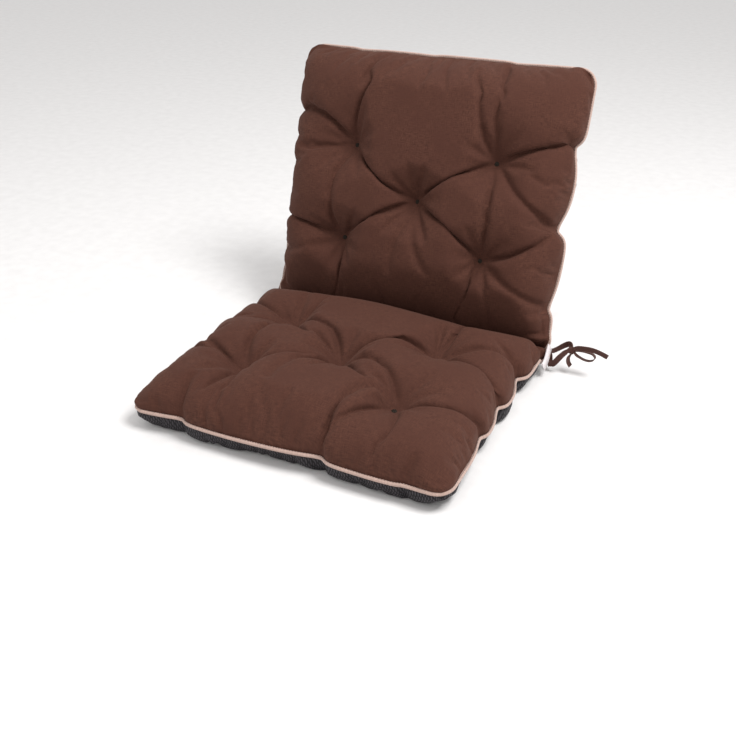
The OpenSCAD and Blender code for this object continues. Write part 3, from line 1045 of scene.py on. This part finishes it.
class PAD_OT_stage(bpy.types.Operator):
    """Sets up the camera, the floor and soft studio light"""

    bl_idname = "pad.stage"
    bl_label = "Stage"

    def execute(self, context):
        turn, rise, reach = math.radians(25.72), math.radians(29.32), 1.40879
        target = Vector((0.03285, 0.0, 0.05598))
        away = Vector((math.sin(turn) * math.cos(rise), -math.cos(turn) * math.cos(rise), math.sin(rise)))
        camera = bpy.data.objects.new("camera", bpy.data.cameras.new("camera"))
        camera.data.lens = 45.76
        camera.location = target + away * reach
        camera.rotation_euler = away.to_track_quat("Z", "Y").to_euler()
        context.collection.objects.link(camera)
        context.scene.camera = camera

        half = 6.0
        corners = [(-half, -half, 0), (half, -half, 0), (half, half, 0), (-half, half, 0)]
        drop = 0.2 * MM
        below = [(x, y, z - drop) for x, y, z in corners]
        floor = new_piece("studio_floor", below, [(0, 1, 2, 3)], floor_paint())

        world = bpy.data.worlds.new("studio")
        context.scene.world = world
        world.use_nodes = True
        sky = world.node_tree.nodes["Background"]
        sky.inputs["Color"].default_value = (1.0, 1.0, 1.0, 1)
        sky.inputs["Strength"].default_value = 0.78

        def softbox(name, place, size, power):
            light = bpy.data.objects.new(name, bpy.data.lights.new(name, "AREA"))
            light.data.energy = power
            light.data.size = size
            light.location = place
            aim = Vector((0, 0.05, 0.15)) - Vector(place)
            light.rotation_euler = aim.to_track_quat("-Z", "Y").to_euler()
            context.collection.objects.link(light)

        softbox("key_softbox", (1.1, -0.1, 2.1), 0.9, 44)
        softbox("fill_softbox", (-1.7, -1.4, 1.4), 1.4, 7)
        context.scene.view_settings.view_transform = "Standard"
        return {"FINISHED"}


class PAD_OT_ties(bpy.types.Operator):
    """Makes the tapes and the knot at each fold corner"""

    bl_idname = "pad.ties"
    bl_label = "Ties"

    def execute(self, context):
        material = finish_of("tie_tape")
        for word, side in (("right", 1), ("left", -1)):
            knot = tie_knot(f"knot_{word}", side, material)
            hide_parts(f"tie_{word}_knot")
            tapes = (("front", FRONT_ROUTE, FRONT_WIDTH), ("rear", REAR_ROUTE, REAR_WIDTH))
            for end, route, widths in tapes:
                tape, path, length = tape_piece(f"tape_{word}_{end}", side, route, widths, material)
                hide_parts(f"tie_{word}_{end}_tape")
                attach(tape, "seat")
            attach(knot, "seat")
        return {"FINISHED"}


FILLED = {}


class PAD_OT_cushions(bpy.types.Operator):
    """Fills both cushions by cloth simulation and makes their four covers"""

    bl_idname = "pad.cushions"
    bl_label = "Cushions"

    def execute(self, context):
        FILLED.update(fill_cushions())
        rows = (
            (SEAT, "seat_top_cover", True, "brown_cloth", ("seat_top_panel", "seat_fill")),
            (SEAT, "seat_grip_cover", False, "grip_cloth", ("seat_under_panel",)),
            (BACK, "back_front_cover", True, "brown_cloth", ("back_front_panel", "back_fill")),
            (BACK, "back_rear_cover", False, "brown_cloth", ("back_rear_panel",)),
        )
        for cushion, name, upper, slot, nodes in rows:
            points = FILLED[cushion.name][0 if upper else 1]
            flat = cloth_grid(cushion)[..., :2] * (1 + sizes().swell)
            piece = cover(name, cushion, points, flat, upper, finish_of(slot))
            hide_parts(*nodes)
            turn_with_fold(piece)
        return {"FINISHED"}


def seam_line(cushion):
    """The whole seam, from the right fold corner round the far edge to the left one, as (x, t, h)."""
    right = seam_side(cushion, 1)
    left = seam_side(cushion, -1)
    return np.concatenate([right, seam_far(cushion)[::-1][1:-1], left[::-1]])


def seam_outward(cushion, seam):
    """The direction out of the cushion, in the seam's plane, at each point of its seam line."""
    ways = directions(seam)
    outward = np.stack([ways[:, 1], -ways[:, 0], 0 * ways[:, 0]], -1)
    middle = np.array((0, cushion.length / 2, 0))
    return outward * np.sign(((seam - middle) * outward).sum(1))[:, None]


class PAD_OT_piping(bpy.types.Operator):
    """Makes the piping in each cushion's seam: a bead over a cord, with the lip that is sewn in"""

    bl_idname = "pad.piping"
    bl_label = "Piping"

    def execute(self, context):
        material = finish_of("piping_cloth")
        for cushion in CUSHIONS:
            seam = even_steps(seam_line(cushion), SEAM_STEPS)
            outward = seam_outward(cushion, seam)
            centre = seam + outward * (SEAM_INSET - BEAD_R)
            centre[0, 1] = centre[-1, 1] = 0
            path = cushion.place(centre)
            outs = cushion.place(centre + outward) - path
            ways = directions(path)
            ways[0] = ways[-1] = ACROSS_FOLD * (1 if ways[0] @ ACROSS_FOLD > 0 else -1)
            if ways[-1] @ (path[-1] - path[-2]) < 0:
                ways[-1] = -ways[-1]
            sides = 14
            turns = [math.radians(-168 + 336 * k / (sides - 1)) for k in range(sides)]
            lip = BEAD_R + 5 * MM
            profile = [(BEAD_R * math.cos(a), BEAD_R * math.sin(a)) for a in turns]
            profile += [(-lip, 0.4 * MM), (-lip, -0.4 * MM)]
            verts, faces = sweep(path, ways, outs, profile)
            run = path_lengths(path)
            around = [BEAD_R * a for a in turns] + [BEAD_R * 3.1 + 5 * MM, -BEAD_R * 3.1 - 5 * MM]
            uvs = [(s, v) for s in run for v in around]
            piece = new_piece(f"{cushion.name}_piping_bead", verts, faces, material, uvs)
            make_solid(piece)
            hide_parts(f"{cushion.name}_piping", f"{cushion.name}_piping_cord")
            turn_with_fold(piece)
        return {"FINISHED"}


def button_mesh(centre, up, radius, height, spin):
    """A low dome with three wraps of thread across it, standing on its flat underside."""
    up = up / np.linalg.norm(up)
    ahead = np.cross(up, (1.0, 0.0, 0.0))
    ahead /= np.linalg.norm(ahead)
    aside = np.cross(up, ahead)
    foot = centre - up * height / 2
    shape = [(0.0, 0.0), (0.9, 0.0), (1.0, 0.3), (0.88, 0.62), (0.6, 0.85), (0.3, 0.93), (0.0, 0.95)]
    sides = 20
    verts, faces = [], []
    for share, rise in shape:
        for k in range(sides):
            a = 2 * math.pi * k / sides
            spoke = ahead * math.cos(a) + aside * math.sin(a)
            verts.append(foot + spoke * radius * share + up * height * rise)
    for i in range(len(shape) - 1):
        for k in range(sides):
            j = (k + 1) % sides
            faces.append((i * sides + k, i * sides + j, (i + 1) * sides + j, (i + 1) * sides + k))
    thread_r = 0.45 * MM
    ring = [(thread_r * math.cos(a), thread_r * math.sin(a)) for a in np.linspace(0, 2 * math.pi, 7)[:-1]]
    for wrap in range(3):
        a = spin + wrap * math.pi / 3
        across = ahead * math.cos(a) + aside * math.sin(a)
        u = np.linspace(-1, 1, 13)
        rise = height * (0.2 + 0.8 * (1 - u**4)) + 0.05 * MM * wrap
        path = foot + across * (u * radius)[:, None] + up * rise[:, None]
        more, more_faces = sweep(path, directions(path), np.tile(up, (len(path), 1)), ring)
        base = len(verts)
        verts.extend(more)
        faces.extend(tuple(base + k for k in f) for f in more_faces)
    return verts, faces


class PAD_OT_buttons(bpy.types.Operator):
    """Makes the thread-wound button at each end of each tuft, and finishes the twine between them"""

    bl_idname = "pad.buttons"
    bl_label = "Buttons and twine"

    def execute(self, context):
        for cushion in CUSHIONS:
            under = "under" if cushion is SEAT else "rear"
            for k in range(1, 6):
                ends = ((f"{cushion.name}_button_{k}", 1), (f"{cushion.name}_{under}_button_{k}", -1))
                for node, way in ends:
                    low, high = (np.array(p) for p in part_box(node))
                    size = high - low
                    centre, up, radius = (low + high) / 2, cushion.up * way, size[0] / 2
                    verts, faces = button_mesh(centre, up, radius, BUTTON_H, spin=0.9 * k)
                    piece = new_piece(node + "_wound", verts, faces, finish_of("button"))
                    make_solid(piece)
                    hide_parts(node)
                    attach(piece, cushion.name)
                twine = frame["nodes"][f"{cushion.name}_twine_{k}"]
                twine.data.materials.clear()
                twine.data.materials.append(finish_of("twine"))
        return {"FINISHED"}


class PAD_OT_fold_seam(bpy.types.Operator):
    """Makes the doubled strip that joins the two cushions along the fold"""

    bl_idname = "pad.fold_seam"
    bl_label = "Fold seam"

    def execute(self, context):
        low, high = (np.array(p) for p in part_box("fold_strip"))
        radius = (high[2] - low[2]) / 2
        x = np.linspace(low[0] + 0.5 * MM, high[0] - 0.5 * MM, 180)
        path = np.stack([x, np.full_like(x, FOLD[1]), FOLD[2] + 0.2 * MM * np.sin(x / (11 * MM))], -1)
        rise = np.array((0.0, -ACROSS_FOLD[2], ACROSS_FOLD[1]))
        turns = np.linspace(0, 2 * math.pi, 17)[:-1]
        profile = [(0.8 * radius * math.cos(a), radius * math.sin(a)) for a in turns]
        ways = np.tile((1.0, 0.0, 0.0), (len(x), 1))
        verts, faces = sweep(path, ways, np.tile(rise, (len(x), 1)), profile)
        uvs = [(s, radius * a) for s in x for a in turns]
        piece = new_piece("fold_seam", verts, faces, finish_of("brown_cloth"), uvs)
        make_solid(piece)
        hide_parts("fold_strip")
        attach(piece, "seat")
        return {"FINISHED"}


class PAD_OT_label(bpy.types.Operator):
    """Makes the blank satin label, folded double and sewn in the right seam beside the fold"""

    bl_idname = "pad.label"
    bl_label = "Care label"

    def execute(self, context):
        low, high = (np.array(p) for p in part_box("care_label"))
        width, length, drop = 16 * MM, 40 * MM, math.radians(32)
        ahead = np.array((0.0, -math.cos(drop), -math.sin(drop)))
        aside = np.array((0.0, -math.sin(drop), math.cos(drop)))
        start = (low + high) / 2 - ahead * length / 2
        half_gap, wall = 0.45 * MM, 0.28 * MM
        out_way = np.linspace(0, length - 1 * MM, 26)
        bow = 2 * MM + 1.5 * MM * np.sin(out_way / length * 2.4) ** 2
        going = [(s, half_gap + b) for s, b in zip(out_way, bow)]
        tip = [
            (length - 1 * MM + half_gap * 2 * math.sin(a), bow[-1] + half_gap * math.cos(a))
            for a in np.linspace(0.3, math.pi - 0.3, 7)
        ]
        coming = [(s, b - half_gap) for s, b in zip(out_way[::-1], bow[::-1])]
        flat = np.array(going + tip + coming)
        path = start + flat[:, :1] * ahead + flat[:, 1:] * np.array((1.0, 0.0, 0.0))
        half = width / 2
        front = [(half, wall / 2), (0, wall / 2), (-half, wall / 2)]
        profile = front + [(a, -b) for a, b in front[::-1]]
        lean = math.radians(14)
        outs = aside * math.cos(lean) - np.array((1.0, 0.0, 0.0)) * math.sin(lean)
        verts, faces = sweep(path, directions(path), np.tile(outs, (len(path), 1)), profile)
        uvs = [(v, s) for s in path_lengths(path) for v, _ in profile]
        piece = new_piece("care_label_blank", verts, faces, finish_of("label_satin"), uvs)
        make_solid(piece)
        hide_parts("care_label")
        turn_with_fold(piece)
        return {"FINISHED"}


def stitch_group():
    """Geometry nodes that lay one stitch at each step along the input's edges."""
    group = bpy.data.node_groups.new("Stitches", "GeometryNodeTree")
    group.interface.new_socket("Geometry", in_out="OUTPUT", socket_type="NodeSocketGeometry")
    group.interface.new_socket("Geometry", in_out="INPUT", socket_type="NodeSocketGeometry")
    for name, kind, about in (
        ("Pitch", "NodeSocketFloat", "Distance from one stitch to the next"),
        ("Stitch Length", "NodeSocketFloat", "Length of the thread that shows"),
        ("Thread Radius", "NodeSocketFloat", "Radius of the thread"),
        ("Material", "NodeSocketMaterial", "Material of the thread"),
    ):
        group.interface.new_socket(name, in_out="INPUT", socket_type=kind, description=about)
    given = add_node(group, "NodeGroupInput")
    line = add_node(group, "GeometryNodeMeshToCurve", {"Mesh": given.outputs["Geometry"]})
    steps = add_node(
        group, "GeometryNodeResampleCurve",
        {"Curve": line.outputs[0], "Length": given.outputs["Pitch"]}, mode="LENGTH",
    )
    bead = add_node(group, "GeometryNodeMeshUVSphere", {"Segments": 6, "Rings": 5, "Radius": 1.0})
    half = add_node(
        group, "ShaderNodeMath", {0: given.outputs["Stitch Length"], 1: 0.5}, operation="MULTIPLY",
    )
    size = add_node(group, "ShaderNodeCombineXYZ", {
        "X": given.outputs["Thread Radius"], "Y": given.outputs["Thread Radius"], "Z": half.outputs[0],
    })
    tangent = add_node(group, "GeometryNodeInputTangent")
    turn = add_node(group, "FunctionNodeAlignRotationToVector", {"Vector": tangent.outputs[0]}, axis="Z")
    laid = add_node(group, "GeometryNodeInstanceOnPoints", {
        "Points": steps.outputs[0], "Instance": bead.outputs[0],
        "Rotation": turn.outputs[0], "Scale": size.outputs[0],
    })
    real = add_node(group, "GeometryNodeRealizeInstances", {"Geometry": laid.outputs[0]})
    smooth = add_node(group, "GeometryNodeSetShadeSmooth", {"Geometry": real.outputs[0]})
    thread = add_node(
        group, "GeometryNodeSetMaterial",
        {"Geometry": smooth.outputs[0], "Material": given.outputs["Material"]},
    )
    add_node(group, "NodeGroupOutput", {"Geometry": thread.outputs[0]})
    return group


def stitched(name, group, rows, radius):
    """One mesh object of the stitches along the rows, each a list of points in the frame's axes."""
    verts, edges = [], []
    for row in rows:
        base = len(verts)
        verts.extend(tuple(map(float, p)) for p in row)
        edges.extend((base + k, base + k + 1) for k in range(len(row) - 1))
    guide_mesh = bpy.data.meshes.new(name + "_guide")
    guide_mesh.from_pydata(verts, edges, [])
    guide = bpy.data.objects.new(name + "_guide", guide_mesh)
    bpy.context.collection.objects.link(guide)
    modifier = guide.modifiers.new("Stitches", "NODES")
    modifier.node_group = group
    values = {
        "Pitch": sizes().stitch_pitch,
        "Stitch Length": 0.72 * sizes().stitch_pitch,
        "Thread Radius": radius,
        "Material": finish_of("thread"),
    }
    for socket in group.interface.items_tree:
        if socket.in_out == "INPUT" and socket.name in values:
            modifier[socket.identifier] = values[socket.name]
    depsgraph = bpy.context.evaluated_depsgraph_get()
    mesh = bpy.data.meshes.new_from_object(guide.evaluated_get(depsgraph))
    mesh.name = name
    piece = bpy.data.objects.new(name, mesh)
    bpy.context.collection.objects.link(piece)
    bpy.data.objects.remove(guide)
    bpy.data.meshes.remove(guide_mesh)
    return piece


class PAD_OT_stitches(bpy.types.Operator):
    """Sews both sides of each piped seam and the fold seam"""

    bl_idname = "pad.stitches"
    bl_label = "Stitches"

    def execute(self, context):
        group = stitch_group()
        radius = 0.35 * MM
        for cushion in CUSHIONS:
            seam = even_steps(seam_line(cushion), SEAM_STEPS)[6:-6]
            outward = seam_outward(cushion, seam)
            rows = [
                cushion.place(seam + outward * 0.7 * MM + np.array((0, 0, rise * MM))) for rise in (3.5, -3.5)
            ]
            piece = stitched(f"{cushion.name}_seam_stitches", group, rows, radius)
            turn_with_fold(piece)
        low, high = (np.array(p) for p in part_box("fold_strip"))
        inset = 4 * MM
        rows = []
        for out in (-1, 1):
            at = FOLD - 0.78 * (high[2] - low[2]) / 2 * np.array((0.0, -ACROSS_FOLD[2], ACROSS_FOLD[1]))
            at = at + ACROSS_FOLD * out * 1.2 * MM
            rows.append([(low[0] + inset, at[1], at[2]), (high[0] - inset, at[1], at[2])])
        piece = stitched("fold_seam_stitches", group, rows, radius)
        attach(piece, "seat")
        bpy.data.node_groups.remove(group)
        return {"FINISHED"}


class PAD_PT_panel(bpy.types.Panel):
    """Sizes, colours and makers of the chair pad"""

    bl_label = "Chair Pad"
    bl_idname = "PAD_PT_panel"
    bl_space_type = "VIEW_3D"
    bl_region_type = "UI"
    bl_category = "Chair Pad"

    def draw(self, context):
        layout = self.layout
        for title, group in (("Sizes", sizes()), ("Colours", colours())):
            box = layout.box()
            box.label(text=title)
            for name in group.__annotations__:
                box.prop(group, name)
        for operator in OPERATORS:
            layout.operator(operator.bl_idname)


OPERATORS = (
    PAD_OT_stage,
    PAD_OT_ties,
    PAD_OT_cushions,
    PAD_OT_piping,
    PAD_OT_fold_seam,
    PAD_OT_buttons,
    PAD_OT_label,
    PAD_OT_stitches,
)
CLASSES = (PadSizes, PadColours, *OPERATORS, PAD_PT_panel)


def register():
    for cls in CLASSES:
        bpy.utils.register_class(cls)
    bpy.types.Scene.pad_sizes = PointerProperty(type=PadSizes)
    bpy.types.Scene.pad_colours = PointerProperty(type=PadColours)


def unregister():
    del bpy.types.Scene.pad_colours
    del bpy.types.Scene.pad_sizes
    for cls in reversed(CLASSES):
        bpy.utils.unregister_class(cls)


def main():
    register()
    bpy.ops.pad.stage()
    bpy.ops.pad.ties()
    bpy.ops.pad.cushions()
    bpy.ops.pad.piping()
    bpy.ops.pad.fold_seam()
    bpy.ops.pad.buttons()
    bpy.ops.pad.label()
    bpy.ops.pad.stitches()


if __name__ == "__main__":
    main()
